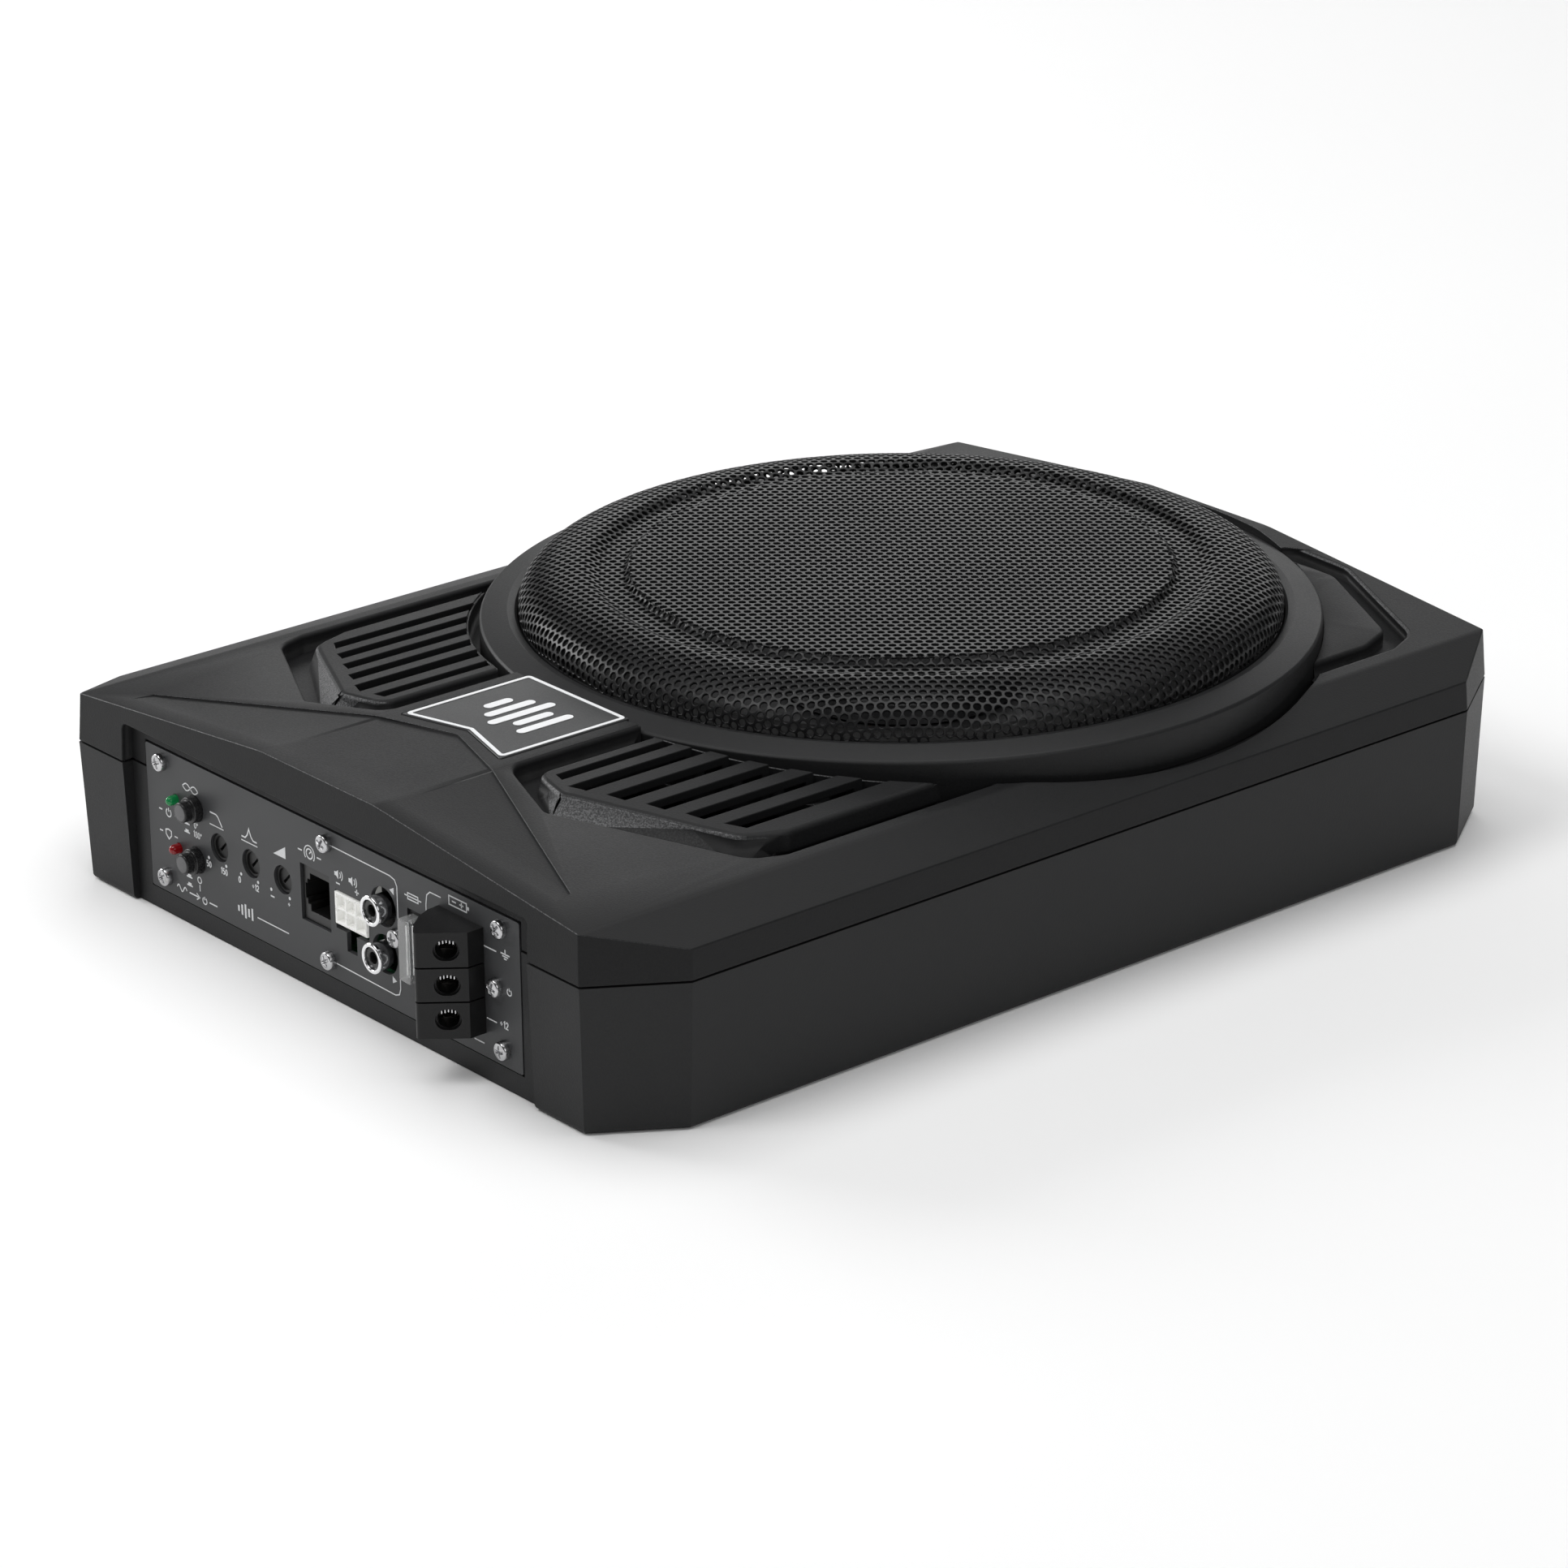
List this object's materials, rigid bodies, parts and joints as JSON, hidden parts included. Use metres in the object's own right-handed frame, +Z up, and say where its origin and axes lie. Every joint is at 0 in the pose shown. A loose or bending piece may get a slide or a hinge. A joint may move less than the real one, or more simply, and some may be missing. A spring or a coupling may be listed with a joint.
{
  "type": "powered car subwoofer",
  "caption": "Low powered car subwoofer: chamfered two-part case, round perforated grille in a trim ring, slotted vents and an end panel of sockets and controls.",
  "frame": {"origin": "centre of the case's underside", "axes": "+Z up; +Y along the case's length away from the control panel, which faces -Y; +X to the right of someone facing the panel"},
  "size_m": [0.2742, 0.3651, 0.0815],
  "materials": {
    "shell_plastic": "fine grained matt moulding",
    "cover_plastic": "fine grained matt moulding",
    "seal_foam": "closed-cell foam",
    "badge_plastic": "satin",
    "badge_ink": "flat silver ink",
    "ring_plastic": "fine grained matt moulding",
    "grille_paint": "gloss black powder coat on perforated steel",
    "basket_paint": "black paint on pressed steel",
    "plated_steel": "zinc plated",
    "ferrite": "bare ferrite",
    "coil_copper": "enamelled copper",
    "cone_black": "moulded polypropylene",
    "surround_rubber": "satin rubber",
    "spider_cloth": "resin-treated cloth",
    "black_screw": "black zinc",
    "terminal_strip": "phenolic board with tinned tags",
    "panel_paint": "satin grey powder coat with white screen print",
    "chrome_screw": "bright nickel",
    "button_grey": "satin with a lighter face",
    "switch_black": "matt",
    "led_green": "tinted clear resin",
    "led_red": "tinted clear resin",
    "trimmer_black": "matt",
    "jack_black": "semi-gloss",
    "gold_contact": "gold flash",
    "header_white": "translucent nylon",
    "tin_pin": "tin plated",
    "phono_chrome": "nickel plated",
    "phono_black": "black",
    "fuse_clear": "clear moulding",
    "holder_black": "matt",
    "terminal_black": "semi-matt",
    "clamp_brass": "nickel-washed brass",
    "zinc_screw": "zinc",
    "circuit_board": "solder mask",
    "heatsink_metal": "extruded, mill finish",
    "transistor_black": "moulded epoxy",
    "clamp_steel": "spring steel",
    "choke_green": "coated powder core",
    "capacitor_sleeve": "shrink sleeve",
    "transformer_core": "ferrite with taped winding",
    "lead_red": "soft insulation",
    "foot_rubber": "matt"
  },
  "bodies": {
    "chassis": {"lower_shell": "shell_plastic", "top_cover": "cover_plastic", "seam_seal": "seal_foam", "plate_gasket": "seal_foam", "grille_gasket": "seal_foam", "flange_seal": "seal_foam", "badge_plate": "badge_plastic", "badge_print": "badge_ink", "trim_ring": "ring_plastic", "mesh_grille": "grille_paint", "basket": "basket_paint", "motor_top_plate": "plated_steel", "back_plate": "plated_steel", "magnet": "ferrite", "surround": "surround_rubber", "spider": "spider_cloth", "woofer_screws": "black_screw", "cover_screws": "black_screw", "woofer_terminals": "terminal_strip", "control_plate": "panel_paint", "panel_screws": "chrome_screw", "push_switches": "switch_black", "trimmer_bodies": "switch_black", "power_led": "led_green", "protect_led": "led_red", "remote_jack": "jack_black", "remote_jack_contacts": "gold_contact", "phono_contacts": "gold_contact", "high_level_header": "header_white", "header_pins": "tin_pin", "fuse_clips": "tin_pin", "phono_shells": "phono_chrome", "phono_insulators": "phono_black", "phono_block": "phono_black", "fuse_holder": "holder_black", "power_terminal_block": "terminal_black", "terminal_clamps": "clamp_brass", "supply_bars": "clamp_brass", "terminal_screws": "zinc_screw", "board_screws": "zinc_screw", "amplifier_board": "circuit_board", "front_board": "circuit_board", "heatsink": "heatsink_metal", "power_transistors": "transistor_black", "transistor_clamp": "clamp_steel", "choke_core": "choke_green", "capacitors": "capacitor_sleeve", "power_transformer": "transformer_core", "speaker_leads": "lead_red", "foot_pads": "foot_rubber"},
    "phase_button": {"phase_button": "button_grey"},
    "auto_on_button": {"auto_on_button": "button_grey"},
    "low_pass_trimmer": {"low_pass_trimmer": "trimmer_black"},
    "bass_boost_trimmer": {"bass_boost_trimmer": "trimmer_black"},
    "input_gain_trimmer": {"input_gain_trimmer": "trimmer_black"},
    "cone_assembly": {"cone": "cone_black", "dust_cap": "cone_black", "voice_coil": "coil_copper"},
    "fuse": {"fuse_body": "fuse_clear", "fuse_blades": "tin_pin"}
  },
  "joints": [
    {"name": "phase_push", "type": "slide", "parent": "chassis", "child": "phase_button", "axis": [0, 1, 0], "range_m": [0, 0.002], "stiffness_N_per_m": 600},
    {"name": "auto_on_push", "type": "slide", "parent": "chassis", "child": "auto_on_button", "axis": [0, 1, 0], "range_m": [0, 0.002], "stiffness_N_per_m": 600},
    {"name": "low_pass_turn", "type": "hinge", "parent": "chassis", "child": "low_pass_trimmer", "pos_m": [-0.0536, -0.168, 0.0298], "axis": [0, 1, 0], "range_deg": [0, 270]},
    {"name": "bass_boost_turn", "type": "hinge", "parent": "chassis", "child": "bass_boost_trimmer", "pos_m": [-0.0377, -0.168, 0.0298], "axis": [0, 1, 0], "range_deg": [0, 270]},
    {"name": "input_gain_turn", "type": "hinge", "parent": "chassis", "child": "input_gain_trimmer", "pos_m": [-0.0219, -0.168, 0.0298], "axis": [0, 1, 0], "range_deg": [0, 270]},
    {"name": "cone_travel", "type": "slide", "parent": "chassis", "child": "cone_assembly", "axis": [0, 0, 1], "range_m": [-0.005, 0.005], "stiffness_N_per_m": 3200, "deforming": ["surround", "spider"]},
    {"name": "fuse_pull", "type": "slide", "parent": "chassis", "child": "fuse", "axis": [0, -1, 0], "range_m": [0, 0.02]}
  ]
}
